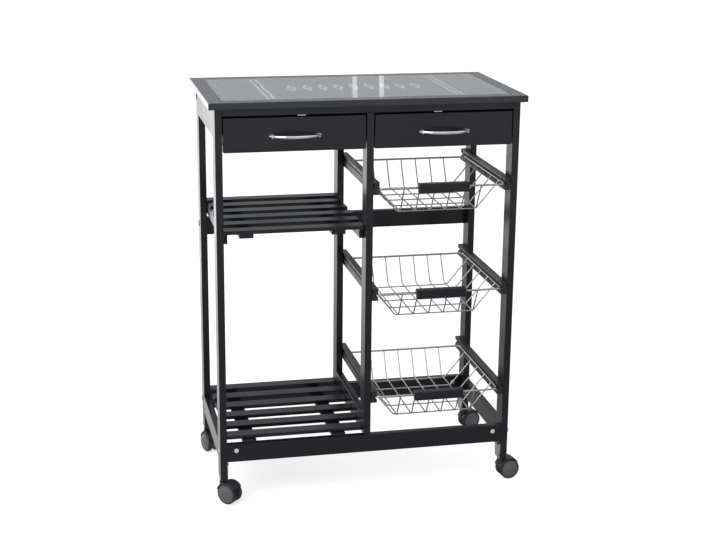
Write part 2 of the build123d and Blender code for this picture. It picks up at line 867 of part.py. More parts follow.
def screw_places():
    """Each small screw: the point under its head, direction, length, head radius and height."""
    made = []
    for side, end in corners.values():
        for hand in (-1, 1):
            y = end * stem_y + hand * bracket_screw_pitch / 2
            point = (side * (inner_face - bracket_thick), y, stand_height + bracket_screw_lift)
            made.append((point, (side, 0, 0), bracket_thick + screw_bite, screw_head_radius,
                         screw_head_thick))
    strip_mid = runner_height - runner_strip_edge - runner_strip_height / 2
    reach = runner_width - runner_recess
    for count in range(basket_count):
        z = first_rim_z + basket_pitch * count - runner_height / 2 + strip_mid
        back_y = -half_depth + runner_length - runner_screw_back_inset
        for y in (-half_depth + runner_screw_inset, back_y):
            for x, way in ((middle_face + reach, -1), (inner_face - reach, 1)):
                made.append(((x, y, z), (way, 0, 0), reach + screw_bite,
                             runner_screw_head_radius, runner_recess))
    z = upper_slat_z - shelf_rail_height / 2
    reach = shelf_rail_thick - shelf_screw_sink
    for y in (-stem_y, stem_y):
        for x, way in ((-inner_face + reach, -1), (-middle_face - reach, 1)):
            made.append(((x, y, z), (way, 0, 0), reach + shelf_screw_bite, screw_head_radius,
                         screw_head_thick))
    return made


def wood_screws():
    """The screws that hold the brackets, the basket runners and the shelf rails."""
    made = []
    for point, direction, length, head_radius, head_thick in screw_places():
        away = tuple(-d for d in direction)
        shank = rod(point, direction, length, screw_radius)
        made.append(shank + rod(point, away, head_thick, head_radius))
    return made


def screw_holes():
    """The holes for those screws, with room for the heads that are sunk."""
    made = []
    for point, direction, length, head_radius, head_thick in screw_places():
        away = tuple(-d for d in direction)
        made.append(rod(point, direction, length + hole_gap, screw_radius + hole_gap))
        made.append(rod(point, away, shelf_screw_sink + hole_gap, head_radius + hole_gap))
    return made


def drilled(made, boxed_holes):
    """A node with its holes cut, whether it is one solid or several."""
    solids = made.solids()
    if len(solids) == 1:
        return drill(made, boxed_holes)
    return group(drill(solid, boxed_holes) for solid in solids)


def cart():
    """Every node of the cart, about the middle of the frame."""
    holes = boxed(bolt_holes() + dowels(hole_gap) + stem_holes() + screw_holes())
    wooden = {**posts(), **rails(), **tabletop(), **shelves()}
    wooden["basket_runners"] = group(basket_runners())
    wooden["caster_brackets"] = group(bracket(*corner) for corner in corners.values())
    nodes = {name: drilled(piece, holes) for name, piece in wooden.items()}
    nodes.update({**drawers(), **baskets(), **casters()})
    nodes["drawer_slide_strips"] = slide_strips()
    nodes["drawer_guide_plates"] = drawer_guides()
    nodes["frame_bolts"] = group(frame_bolts())
    nodes["barrel_nuts"] = group(barrel_nuts())
    nodes["dowels"] = group(dowels())
    nodes["caster_stems"] = group(stem(*corner) for corner in corners.values())
    nodes["wood_screws"] = group(wood_screws())
    return nodes


def outline_centre(nodes):
    """The middle of the cart's outline, as a shift from the middle of the frame."""
    middle = group(nodes.values()).bounding_box().center()
    return middle.X, middle.Y


nodes = cart()
origin_x, origin_y = outline_centre(nodes)
os.makedirs("parts", exist_ok=True)
for name, piece in nodes.items():
    export_step(Pos(-origin_x, -origin_y, 0) * piece, f"parts/{name}.step")
print("nodes", len(nodes), "origin", round(origin_x, 3), round(origin_y, 3))
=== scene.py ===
"""A kitchen cart on casters: its finishes, wire baskets, pulls, casters and small fittings.

Metres, +X to the right, -Y to the front, +Z up, floor at Z 0. Boards, rails, slats, runners and
brackets keep the shapes of the frame and get their finishes here. Wires, pulls, glass, casters and
fasteners are new surfaces, worked out from the frame's own boxes and joints.
"""

import json
import math

import bmesh
import bpy
import numpy as np
from mathutils import Matrix, Vector


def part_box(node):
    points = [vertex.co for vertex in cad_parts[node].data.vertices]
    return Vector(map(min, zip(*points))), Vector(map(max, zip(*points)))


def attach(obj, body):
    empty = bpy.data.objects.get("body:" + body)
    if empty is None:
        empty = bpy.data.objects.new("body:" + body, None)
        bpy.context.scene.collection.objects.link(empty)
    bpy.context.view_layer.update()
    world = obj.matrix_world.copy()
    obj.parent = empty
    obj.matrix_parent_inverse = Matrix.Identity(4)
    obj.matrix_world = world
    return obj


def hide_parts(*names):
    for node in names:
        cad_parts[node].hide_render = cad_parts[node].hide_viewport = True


bl_info = {
    "name": "Kitchen cart",
    "version": (1, 0, 0),
    "blender": (4, 5, 0),
    "location": "View3D > Sidebar > Cart",
    "description": "Finishes and fittings of a kitchen cart with drawers and wire baskets",
    "category": "Object",
}

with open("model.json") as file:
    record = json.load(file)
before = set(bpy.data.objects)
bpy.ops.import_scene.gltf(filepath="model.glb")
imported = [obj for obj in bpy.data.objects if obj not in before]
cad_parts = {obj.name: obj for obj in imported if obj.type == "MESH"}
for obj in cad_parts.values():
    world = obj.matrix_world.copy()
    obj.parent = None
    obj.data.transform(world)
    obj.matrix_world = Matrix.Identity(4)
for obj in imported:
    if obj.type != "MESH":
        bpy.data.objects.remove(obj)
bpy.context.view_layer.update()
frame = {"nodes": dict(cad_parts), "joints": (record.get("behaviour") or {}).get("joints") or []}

MM = 0.001
X_AXIS, Y_AXIS, UP = np.eye(3)
CORNERS = ("front_left", "front_right", "back_left", "back_right")
SIDES = ("left", "right")
TIERS = ("bottom", "middle", "top")
SHELVES = ("upper", "lower")
UPRIGHT_BOARDS = [f"{place}_post" for place in (*CORNERS, "front_middle", "back_middle")]
CROSSWISE_BOARDS = [
    *(f"{place}_rail" for place in ("front_bottom", "back_bottom", "back_cross", "back_top", "front_top")),
    *(f"{shelf}_shelf_slats" for shelf in SHELVES),
    *(f"{side}_drawer_front" for side in SIDES),
    *(f"{tier}_basket_grip" for tier in TIERS),
]
LENGTHWISE_BOARDS = [
    *(f"{place}_{level}_rail" for place in ("left", "middle", "right") for level in ("bottom", "top")),
    *(f"{shelf}_shelf_battens" for shelf in SHELVES),
    "upper_shelf_rails",
]

# A basket's wires from front to back and from side to side.
LONG_WIRES, CROSS_WIRES = 6, 5

# How close points are merged, from which angle an edge shades sharp, how far a wheel's body lies inside
# its tread, and how far its back lies in from the tread's face.
MERGE = 0.002 * MM
SHARP_ANGLE = math.radians(35)
TYRE_DEPTH = 3.6 * MM
RIB_LIFT = 0.3 * MM

# Lacquer and wood: the sheen that all lacquer has, and cycles a metre along and across the grain.
LACQUER_SHEEN = {"Specular_IOR_Level": 0.38, "Coat_Roughness": 0.16}
PORE_CYCLES, FIGURE_CYCLES, RING_CYCLES = (14, 620), (2.2, 46), (0.6, 14)

# The room as gloss sees it: X or Z of a ray's direction where its parts begin and end.
LEFT_WALL, OVERHEAD, HORIZON = (-0.25, -0.8), (0.38, 0.55), (0.24, 0.31)
STRIP_LIGHTS, STRIP_HALF, STRIP_TOP = (0.211, 0.229), 0.0012, (0.5, 0.52)

# The floor's painted glow as gloss sees it: where its parts begin and end, in metres along Y, X and Y.
FLOOR_BEHIND, FLOOR_RIGHT, FLOOR_AHEAD = (-0.5, -0.1), (-0.5, -0.2), (-2.2, -4.2)
FLOOR_HALF = 12.0

KEY_LIGHT = {"place": (-2.2, -1.9, 2.3), "aim": (0, 0, 0.45), "size": (1.8, 1.8)}
RIM_LIGHT = {"place": (-1.08, 1.3, 0.55), "aim": (-0.5, 0, 0.5), "size": (1.2, 1.1)}


def setting(kind, **common):
    """Makes a function for one kind of setting that a user may change."""

    def made(name, description, default):
        return kind(name=name, description=description, default=default, **common)

    return made


# Colours in linear light, lengths in metres, shares from 0 to 1 and the lamps' power in watts.
colour = setting(bpy.props.FloatVectorProperty, size=3, subtype="COLOR", min=0, max=1)
length = setting(bpy.props.FloatProperty, unit="LENGTH", precision=5, min=0)
share = setting(bpy.props.FloatProperty, subtype="FACTOR", min=0, max=1)
power = setting(bpy.props.FloatProperty, unit="POWER", min=0)


class CartFinishes(bpy.types.PropertyGroup):
    """Colours and gloss of the cart's materials."""

    lacquer: colour("Lacquer", "Black lacquer of the boards", (0.0070, 0.0080, 0.0125))
    lacquer_roughness: share("Lacquer roughness", "How satin the lacquer is", 0.30)
    drawer_wood: colour("Drawer wood", "Pale wood inside the drawers", (0.50, 0.37, 0.23))
    dowel_wood: colour("Dowel wood", "Bare hardwood of the dowels", (0.55, 0.38, 0.22))
    print_ground: colour("Print ground", "Grey ground of the printed top", (0.15, 0.15, 0.155))
    print_pale: colour("Print pale", "Pale lines and marks of the printed top", (0.95, 0.95, 0.94))
    glass_tint: colour("Glass tint", "Faint green of the glass", (0.93, 0.97, 0.95))
    chrome: colour("Chrome", "Polished pulls", (0.80, 0.80, 0.81))
    wire: colour("Wire", "Plated basket wire", (0.50, 0.50, 0.51))
    zinc: colour("Zinc", "Plated brackets, stems, bolts and axles", (0.62, 0.63, 0.64))
    nut: colour("Nut", "Pale zinc of the cross nuts", (0.92, 0.92, 0.92))
    screw: colour("Screw", "Blackened screws", (0.045, 0.045, 0.048))
    runner_plastic: colour("Runner plastic", "Black basket runners", (0.016, 0.016, 0.017))
    hood_plastic: colour("Hood plastic", "Hoods of the casters", (0.024, 0.024, 0.027))
    wheel_plastic: colour("Wheel plastic", "Domed faces of the wheels", (0.115, 0.117, 0.130))
    tyre_plastic: colour("Tyre plastic", "Treads of the wheels", (0.018, 0.018, 0.020))


class CartSizes(bpy.types.PropertyGroup):
    """Sizes of the wires, pulls, glass and casters."""

    rim_radius: length("Rim wire radius", "Radius of a basket's rim wire", 2.25 * MM)
    wire_radius: length("Mesh wire radius", "Radius of a basket's other wires", 1.5 * MM)
    rim_corner: length("Rim corner", "Radius of a rim's corners", 12 * MM)
    wire_bend: length("Wire bend", "Radius of the bends in the other wires", 8 * MM)
    wire_pitch: length("Wire pitch", "Between the wires from front to back", 33.5 * MM)
    side_taper: length("Side taper", "How far a basket's sides lean in", 50 * MM)
    end_taper: length("End taper", "How far a basket's ends lean in", 33 * MM)
    cross_inset: length("Cross wire inset", "From the rim to the first cross wire", 46 * MM)
    weld_radius: length("Weld radius", "Radius of a weld where two wires cross", 1.9 * MM)
    glass_bevel: length("Glass bevel", "Ground edge of the glass", 0.9 * MM)
    glass_lift: length("Glass lift", "Film of air between the glass and the print", 0.05 * MM)
    glass_corner: length("Glass corner", "Radius of the glass's corners", 1.5 * MM)
    pull_span: length("Pull span", "Between a pull's two legs", 96 * MM)
    pull_length: length("Pull length", "Between the ends of a pull's bar", 110 * MM)
    pull_end_reach: length("Pull end reach", "From the drawer front to a pull's ends", 3.2 * MM)
    wheel_radius: length("Wheel radius", "Radius of a caster's wheels", 23 * MM)
    wheel_stack: length("Wheel stack", "Across both wheels of a caster", 38.4 * MM)
    wheel_inner_gap: length("Wheel inner gap", "Between the two wheels of a caster", 10 * MM)
    caster_trail: length("Caster trail", "From the stem to the axle", 17.5 * MM)
    hood_gap: length("Hood gap", "Between a wheel's tread and the hood", 0.8 * MM)
    hood_thick: length("Hood thickness", "Wall of a caster's hood", 1.8 * MM)
    hood_half_width: length("Hood half width", "From the middle of a caster to its hood's edge", 14.6 * MM)


class CartStage(bpy.types.PropertyGroup):
    """Light and floor."""

    ambient: share("Ambient light", "Strength of the light from all round", 0.55)
    key_power: power("Key light", "Large soft light at the left front", 42)
    rim_power: power("Rim light", "Soft panel close by at the left back", 5)
    floor_colour: colour("Floor colour", "Pale floor", (0.80, 0.80, 0.80))
    floor_glow: share("Floor glow", "How much of the floor's white its own light gives", 0.66)
    dim_gloss: share("Dim gloss", "How bright the dimmest part of the room is in gloss", 0.22)
    horizon_gloss: share("Horizon gloss", "How bright the room is in gloss near the horizon", 0.50)
    # Painted light: how bright the floor's glow is in gloss, place by place.
    front_floor_painted_glow: share("Front floor gloss", "How bright the far floor in front is in gloss", 0.80)
    near_floor_painted_glow: share("Near floor gloss", "How bright the floor close in front is in gloss", 0.30)
    right_floor_painted_glow: share("Right floor gloss", "How bright the floor at the right is in gloss", 0.35)
    dim_tint: colour("Dim tint", "Cool tint of the room's dim parts", (0.86, 0.92, 1.0))


def unit(vector):
    """The vector, or each row of an array, at length 1."""
    return vector / np.linalg.norm(vector, axis=-1, keepdims=True)


def quads(rows, columns, wrap_rows):
    """Corner indices of a grid's faces: point (i, j), (i, j + 1), (i + 1, j + 1), (i + 1, j).

    The last column joins the first, and so does the last row where rows wrap.
    """
    i = np.arange(rows if wrap_rows else rows - 1)[:, None]
    j = np.arange(columns)[None, :]
    next_i, next_j = (i + 1) % rows, (j + 1) % columns
    corners = (i * columns + j, i * columns + next_j, next_i * columns + next_j, next_i * columns + j)
    return np.stack(corners, axis=-1).reshape(-1, 4)


def skin(rings, wrap=False, capped=True):
    """A surface through rings of points: an (n, m, 3) array as points and blocks of faces."""
    rows, columns = rings.shape[:2]
    blocks = [quads(rows, columns, wrap)]
    if capped and not wrap:
        first = np.arange(columns)[None, :]
        blocks += [first[:, ::-1], first + (rows - 1) * columns]
    return rings.reshape(-1, 3), blocks


def rounded_route(points, radii, closed=False, steps=6):
    """Straight runs joined by arcs.

    At a corner between unit directions a and b that turn by t, the arc of radius r starts r*tan(t/2)
    before the corner. With n the unit normal towards its centre, its points are
    centre - r*cos(s)*n + r*sin(s)*a, for s from 0 to t.
    """
    points = np.asarray(points, float)
    count = len(points)
    radii = np.broadcast_to(np.asarray(radii, float), (count,))
    route = []
    for index in range(count):
        corner, radius = points[index], radii[index]
        if not closed and index in (0, count - 1):
            route.append(corner[None])
            continue
        a = unit(corner - points[index - 1])
        b = unit(points[(index + 1) % count] - corner)
        turn = math.acos(np.clip(a @ b, -1, 1))
        normal = unit(b - a * math.cos(turn))
        centre = corner - radius * math.tan(turn / 2) * a + radius * normal
        s = np.linspace(0, turn, steps + 1)[:, None]
        route.append(centre - radius * np.cos(s) * normal + radius * np.sin(s) * a)
    return np.concatenate(route)


def outline(points, radii, steps=4):
    """A closed flat outline with rounded corners, as (u, v) pairs."""
    flat = np.column_stack([points, np.zeros(len(points))])
    return rounded_route(flat, radii, closed=True, steps=steps)[:, :2]


def rectangle(low_u, high_u, low_v, high_v, radii):
    """A rectangle with rounded corners, as (u, v) pairs."""
    return outline([(low_u, low_v), (high_u, low_v), (high_u, high_v), (low_u, high_v)], radii)


def circle(radius, sides):
    """A circle as (u, v) pairs."""
    t = np.linspace(0, 2 * math.pi, sides, endpoint=False)
    return radius * np.column_stack([np.cos(t), np.sin(t)])


def carried(path, profile, across, closed=False, swell=None):
    """A profile carried along a path.

    Ring i is path[i] + u*side[i] + v*over[i] for each profile point (u, v). The side is the path's
    direction crossed with `across`, and over is the side crossed with the direction. With swell,
    ring i's (u, v) are scaled by swell[i].
    """
    step = np.roll(path, -1, axis=0) - np.roll(path, 1, axis=0)
    if not closed:
        step[0], step[-1] = path[1] - path[0], path[-1] - path[-2]
    along = unit(step)
    side = unit(np.cross(along, across))
    over = np.cross(side, along)
    flat = np.broadcast_to(profile, (len(path), *profile.shape))
    if swell is not None:
        flat = flat * np.asarray(swell).reshape(len(path), 1, -1)
    rings = path[:, None] + flat[..., :1] * side[:, None] + flat[..., 1:] * over[:, None]
    return skin(rings, wrap=closed)


def turned(profile, centre, axis, sides=48, closed=False, sink=None):
    """A profile of (radius, height) pairs turned about an axis.

    Point (i, j) is centre + height*axis + radius*(cos(t)*u + sin(t)*w), with u and w square to the
    axis. `sink`, a function of the offsets along u and w and of the height, is taken off the height.
    """
    helper = UP if abs(axis[2]) < 0.9 else X_AXIS
    u = unit(np.cross(helper, axis))
    w = np.cross(axis, u)
    t = np.linspace(0, 2 * math.pi, sides, endpoint=False)[None, :]
    radius, height = profile[:, :1], profile[:, 1:]
    x, y = radius * np.cos(t), radius * np.sin(t)
    height = np.broadcast_to(height, x.shape)
    if sink is not None:
        height = height - sink(x, y, height)
    rings = centre + x[..., None] * u + y[..., None] * w + height[..., None] * axis
    return skin(rings, wrap=closed, capped=False)


def ball(centre, axis, radius, half_height):
    """A squashed ball: radius*sin(s) across and -half_height*cos(s) along, s from 0 to pi."""
    s = np.linspace(0, math.pi, 6)
    profile = np.column_stack([radius * np.sin(s), -half_height * np.cos(s)])
    return turned(profile, centre, axis, sides=10)


def placed(name, data):
    """An object in the scene that holds a mesh, a lamp or a camera."""
    made = bpy.data.objects.new(name, data)
    bpy.context.scene.collection.objects.link(made)
    return made


def make_piece(name, shells, material, body, replaced):
    """One object from closed shells, faces turned outwards, riding on a body in a node's place."""
    starts = np.cumsum([0] + [len(points) for points, _ in shells[:-1]])
    faces = [
        row
        for (_, blocks), start in zip(shells, starts)
        for block in blocks
        for row in (block + start).tolist()
    ]
    mesh = bpy.data.meshes.new(name)
    mesh.from_pydata(np.concatenate([points for points, _ in shells]), [], faces)
    work = bmesh.new()
    work.from_mesh(mesh)
    bmesh.ops.remove_doubles(work, verts=work.verts, dist=MERGE)
    bmesh.ops.recalc_face_normals(work, faces=work.faces)
    work.to_mesh(mesh)
    work.free()
    mesh.polygons.foreach_set("use_smooth", np.ones(len(mesh.polygons), bool))
    mesh.set_sharp_from_angle(angle=SHARP_ANGLE)
    mesh.materials.append(material)
    piece = placed(name, mesh)
    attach(piece, body)
    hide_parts(replaced)


def dress(material, names):
    """A finish on nodes that keep their shape."""
    for name in names:
        node = frame["nodes"][name]
        if not node.material_slots:
            node.data.materials.append(material)
        for material_slot in node.material_slots:
            material_slot.material = material


def node_box(name):
    """A node's low and high corners as arrays."""
    low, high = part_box(name)
    return np.array(low), np.array(high)


def solids_of(name):
    """The points of each separate solid in a node.

    Each point starts with its own number and takes the lowest among its neighbours until none changes.
    """
    work = bmesh.new()
    work.from_mesh(frame["nodes"][name].data)
    bmesh.ops.remove_doubles(work, verts=work.verts, dist=MERGE)
    mesh = bpy.data.meshes.new("solids")
    work.to_mesh(mesh)
    work.free()
    points = np.zeros(len(mesh.vertices) * 3)
    mesh.vertices.foreach_get("co", points)
    edges = np.zeros(len(mesh.edges) * 2, int)
    mesh.edges.foreach_get("vertices", edges)
    bpy.data.meshes.remove(mesh)
    points, edges = points.reshape(-1, 3), edges.reshape(-1, 2)
    label = np.arange(len(points))
    while True:
        lowest = label[edges].min(axis=1)
        spread = label.copy()
        np.minimum.at(spread, edges[:, 0], lowest)
        np.minimum.at(spread, edges[:, 1], lowest)
        if (spread == label).all():
            return [points[label == value] for value in np.unique(label)]
        label = spread


def joint_named(name):
    """A joint's place and axis."""
    joint = next(joint for joint in frame["joints"] if joint["name"] == name)
    return np.array(joint.get("pos_m", (0, 0, 0)), float), unit(np.array(joint["axis"], float))


def add(tree, kind, inputs=None, **settings):
    """A shader node of a kind, with its settings; each input is a value or another node's output."""
    made = tree.nodes.new(f"ShaderNode{kind}")
    for key, value in settings.items():
        setattr(made, key, value)
    for key, value in (inputs or {}).items():
        if isinstance(value, bpy.types.NodeSocket):
            tree.links.new(value, made.inputs[key])
        else:
            made.inputs[key].default_value = value
    return made


def reckon(tree, operation, *values):
    """The output of a Math node on values or other outputs."""
    return add(tree, "Math", dict(enumerate(values)), operation=operation).outputs[0]


def stretched(tree, scale, offset=(0, 0, 0)):
    """Object coordinates scaled along each axis, for a pattern that runs one way."""
    where = add(tree, "TexCoord").outputs["Object"]
    inputs = {"Vector": where, "Scale": scale, "Location": offset}
    return add(tree, "Mapping", inputs).outputs[0]


def noise(tree, scale, detail):
    """Soft noise from 0 to 1, with that many cycles a metre along each axis."""
    inputs = {"Vector": stretched(tree, scale), "Scale": 1.0, "Detail": detail}
    return add(tree, "TexNoise", inputs).outputs[0]


def from_middle(tree, name):
    """Half a node's box, and X, unsigned X and unsigned Y counted from the box's middle."""
    low, high = node_box(name)
    where = add(tree, "SeparateXYZ", {0: stretched(tree, (1, 1, 1), tuple(-(low + high) / 2))})
    x, y = where.outputs["X"], where.outputs["Y"]
    return (high - low) / 2, x, reckon(tree, "ABSOLUTE", x), reckon(tree, "ABSOLUTE", y)


def remap(tree, value, low, high, start=0.3, end=0.7):
    """A value between start and end, spread from low to high; most noise lies between 0.3 and 0.7."""
    inputs = {0: value, 1: start, 2: end, 3: low, 4: high}
    return add(tree, "MapRange", inputs, clamp=True).outputs[0]


def blend_colours(tree, factor, a, b):
    """Colour a where the factor is 0, and b where it is 1, from a Mix node's sockets for colours."""
    return add(tree, "Mix", {0: factor, 6: a, 7: b}, data_type="RGBA").outputs[2]


def bump(tree, height, distance, strength=1.0, under=None):
    """A bump of a real height in metres, on top of another bump if there is one."""
    inputs = {"Height": height, "Distance": distance, "Strength": strength}
    if under is not None:
        inputs["Normal"] = under
    return add(tree, "Bump", inputs).outputs[0]


def finish(name, **sockets):
    """A material with a Principled shader, whose sockets get these values, its node tree and its shader."""
    material = bpy.data.materials.new(name)
    material.use_nodes = True
    shader = material.node_tree.nodes["Principled BSDF"]
    for key, value in sockets.items():
        shader.inputs[key.replace("_", " ")].default_value = value
    return material, material.node_tree, shader


def wire_up(tree, shader, **outputs):
    """Joins nodes' outputs to the shader's sockets."""
    for key, output in outputs.items():
        tree.links.new(output, shader.inputs[key.replace("_", " ")])


def shade(rgb, factor):
    """A colour made lighter or darker, with its alpha."""
    return (*(min(1.0, channel * factor) for channel in rgb), 1.0)


def mottled(tree, pattern, tone, dark, light):
    """A colour that a pattern from 0 to 1 takes from a darker to a lighter shade."""
    return blend_colours(tree, remap(tree, pattern, 0, 1), shade(tone, dark), shade(tone, light))


def grain_scale(grain, cycles):
    """Scales of a wood grain that runs along one axis, from its cycles along and across."""
    along, across = cycles
    return tuple(along if axis == grain else across for axis in "XYZ")


def grain_parts(tree, grain):
    """Fine pores and broad figure of a grain along one axis, each from 0 to 1."""
    pores = noise(tree, grain_scale(grain, PORE_CYCLES), 4.0)
    return pores, noise(tree, grain_scale(grain, FIGURE_CYCLES), 3.0)


def lacquered(tree, shader, pores, figure, finishes):
    """Black satin lacquer: the wood's pores telegraph through, and hands leave it uneven."""
    base = finishes.lacquer
    toned = mottled(tree, figure, base, dark=0.75, light=1.35)
    handled = noise(tree, (9, 9, 9), 2.0)
    low = finishes.lacquer_roughness - 0.04
    rough = remap(tree, handled, low, low + 0.1)
    sunk = bump(tree, pores, 0.06 * MM, 0.35)
    waves = bump(tree, noise(tree, (30, 30, 30), 1.0), 0.25 * MM, 0.15, sunk)
    wire_up(tree, shader, Base_Color=toned, Roughness=rough, Normal=waves)


def lacquer_material(grain, finishes):
    """Black lacquered wood with its grain along X, Y or Z."""
    material, tree, shader = finish(f"black lacquer, grain {grain}", Coat_Weight=0.12, **LACQUER_SHEEN)
    lacquered(tree, shader, *grain_parts(tree, grain), finishes)
    return material


def border_material(finishes):
    """Lacquered border boards, mitred at the corners: the grain turns at each mitre."""
    material, tree, shader = finish("black lacquer, mitred border", Coat_Weight=0.65, **LACQUER_SHEEN)
    half, _, across, along = from_middle(tree, "top_border_boards")
    from_side = reckon(tree, "SUBTRACT", half[0], across)
    from_front = reckon(tree, "SUBTRACT", half[1], along)
    beyond = reckon(tree, "SUBTRACT", from_side, from_front)
    crosswise = reckon(tree, "GREATER_THAN", beyond, 0.0)
    seam = remap(tree, reckon(tree, "ABSOLUTE", beyond), 0, 1, 0.1 * MM, 0.6 * MM)
    pores, figure = (
        add(tree, "Mix", {0: crosswise, 2: side_board, 3: front_board}).outputs[0]
        for side_board, front_board in zip(*(grain_parts(tree, grain) for grain in "YX"))
    )
    lacquered(tree, shader, reckon(tree, "MULTIPLY", pores, seam), figure, finishes)
    return material


def pale_wood(name, tone, grain, roughness):
    """Plain pale wood: figure and rings in the colour, pores in the bump."""
    material, tree, shader = finish(name, Roughness=roughness)
    pores, figure = grain_parts(tree, grain)
    ringed = {"Vector": stretched(tree, grain_scale(grain, RING_CYCLES)), "Scale": 2.0, "Distortion": 6.0}
    rings = add(tree, "TexWave", ringed).outputs[1]
    toned = mottled(tree, figure, tone, dark=0.82, light=1.1)
    toned = blend_colours(tree, remap(tree, rings, 0, 0.4, 0, 1), toned, shade(tone, 0.7))
    rough = remap(tree, pores, roughness - 0.06, roughness + 0.08)
    wire_up(tree, shader, Base_Color=toned, Roughness=rough, Normal=bump(tree, pores, 0.08 * MM, 0.5))
    return material


def print_material(finishes):
    """A grey printed board: an inner line, pairs of stripes from front to back and a row of lozenges.

    A lozenge reaches where x + slant*y, unsigned and counted from its own middle, is its half width.
    """
    material, tree, shader = finish("printed panel", Roughness=0.42)
    half, x, across, along = from_middle(tree, "top_panel")
    inset, line_half, soft = 15 * MM, 1.0 * MM, 0.15 * MM
    stripe_places, stripe_half = (194 * MM, 206 * MM), 2.6 * MM
    lozenge_half, pitch, slant, row_half = 11 * MM, 34 * MM, 0.25, 4.5

    def both(a, b):
        """Where two marks overlap."""
        return reckon(tree, "MULTIPLY", a, b)

    def either(a, b):
        """Where at least one of two marks is."""
        return reckon(tree, "MAXIMUM", a, b)

    def line(value, place, half_width):
        """1 within half a width of a place, and 0 beside it."""
        off = reckon(tree, "ABSOLUTE", reckon(tree, "SUBTRACT", value, place))
        return remap(tree, off, 1, 0, half_width - soft, half_width + soft)

    edge_x, edge_y = half[0] - inset, half[1] - inset
    inside_x = reckon(tree, "LESS_THAN", across, edge_x + line_half)
    inside_y = reckon(tree, "LESS_THAN", along, edge_y + line_half)
    side_lines = both(line(across, edge_x, line_half), inside_y)
    border = either(side_lines, both(line(along, edge_y, line_half), inside_x))
    stripes = both(either(*(line(across, place, stripe_half) for place in stripe_places)), inside_y)
    reach = reckon(tree, "MULTIPLY_ADD", along, slant, reckon(tree, "PINGPONG", x, pitch / 2))
    filled = remap(tree, reach, 1, 0, lozenge_half - 0.4 * MM, lozenge_half + 0.4 * MM)
    hollow = remap(tree, reach, 0, 1, lozenge_half * 0.4, lozenge_half * 0.4 + 0.8 * MM)
    lozenges = both(both(filled, hollow), reckon(tree, "LESS_THAN", across, row_half * pitch))
    ground, pale = finishes.print_ground, finishes.print_pale
    mottle, weave = noise(tree, (90, 90, 90), 4.0), noise(tree, (900, 220, 220), 2.0)
    toned = mottled(tree, mottle, ground, dark=0.8, light=1.25)
    toned = blend_colours(tree, remap(tree, weave, 0, 0.35), toned, shade(ground, 1.6))
    lined = blend_colours(tree, both(border, 0.5), toned, shade(pale, 0.8))
    worn = both(either(stripes, lozenges), remap(tree, mottle, 0.7, 1.0))
    wire_up(tree, shader, Base_Color=blend_colours(tree, worn, lined, shade(pale, 1.0)))
    return material


def glass_material(finishes):
    """Clear glass, faintly smeared, that lets the lamps through to the print under it."""
    tint = shade(finishes.glass_tint, 1.0)
    material, tree, shader = finish(
        "clear glass", Base_Color=tint, Roughness=0.015, Transmission_Weight=1.0, IOR=1.5
    )
    smear = noise(tree, (7, 16, 7), 5.0)
    wire_up(tree, shader, Roughness=remap(tree, smear, 0.01, 0.05, 0.45, 0.75))
    clear = add(tree, "BsdfTransparent", {"Color": tint})
    lamps = add(tree, "LightPath").outputs["Is Shadow Ray"]
    both = add(tree, "MixShader", {0: lamps, 1: shader.outputs[0], 2: clear.outputs[0]})
    tree.links.new(both.outputs[0], tree.nodes["Material Output"].inputs["Surface"])
    return material


def metal_material(name, tone, roughness, spread, brushed=(60, 60, 60), metallic=1.0):
    """Plated metal: its roughness wanders, with fine marks along the brushed direction."""
    material, tree, shader = finish(name, Roughness=roughness, Metallic=metallic)
    cloudy, marks = noise(tree, (45, 45, 45), 3.0), noise(tree, brushed, 3.0)
    toned = mottled(tree, cloudy, tone, dark=0.88, light=1.08)
    rough = remap(tree, cloudy, roughness - spread, roughness + spread)
    wire_up(tree, shader, Base_Color=toned, Roughness=rough, Normal=bump(tree, marks, 0.01 * MM, 0.4))
    return material


def plastic_material(name, tone, roughness):
    """Moulded plastic: a fine grain, and a sheen that varies a little."""
    material, tree, shader = finish(name, Roughness=roughness)
    fine, cloudy = noise(tree, (1800, 1800, 1800), 2.0), noise(tree, (28, 28, 28), 3.0)
    toned = mottled(tree, cloudy, tone, dark=0.85, light=1.15)
    rough = remap(tree, cloudy, roughness - 0.06, roughness + 0.08)
    wire_up(tree, shader, Base_Color=toned, Roughness=rough, Normal=bump(tree, fine, 0.03 * MM, 0.4))
    return material


def settings_of(context):
    """The cart's finishes and sizes."""
    return context.scene.cart_finishes, context.scene.cart_sizes


class CART_OT_boards(bpy.types.Operator):
    """Lacquer the posts, rails, shelves, drawer fronts and basket grips"""

    bl_idname = "cart.boards"
    bl_label = "Lacquered boards"

    def execute(self, context):
        finishes, _ = settings_of(context)
        dress(lacquer_material("Z", finishes), UPRIGHT_BOARDS)
        dress(lacquer_material("X", finishes), CROSSWISE_BOARDS)
        dress(lacquer_material("Y", finishes), LENGTHWISE_BOARDS)
        dress(border_material(finishes), ["top_border_boards"])
        return {"FINISHED"}


class CART_OT_glass_top(bpy.types.Operator):
    """Print the top panel and lay the glass on it"""

    bl_idname = "cart.glass_top"
    bl_label = "Printed panel and glass"

    def execute(self, context):
        finishes, sizes = settings_of(context)
        dress(print_material(finishes), ["top_panel"])
        low, high = node_box("top_glass")
        low = low + (0, 0, sizes.glass_lift)
        shells = [pane(low, high, sizes.glass_corner, sizes.glass_bevel)]
        make_piece("top_glass_pane", shells, glass_material(finishes), "frame", "top_glass")
        return {"FINISHED"}


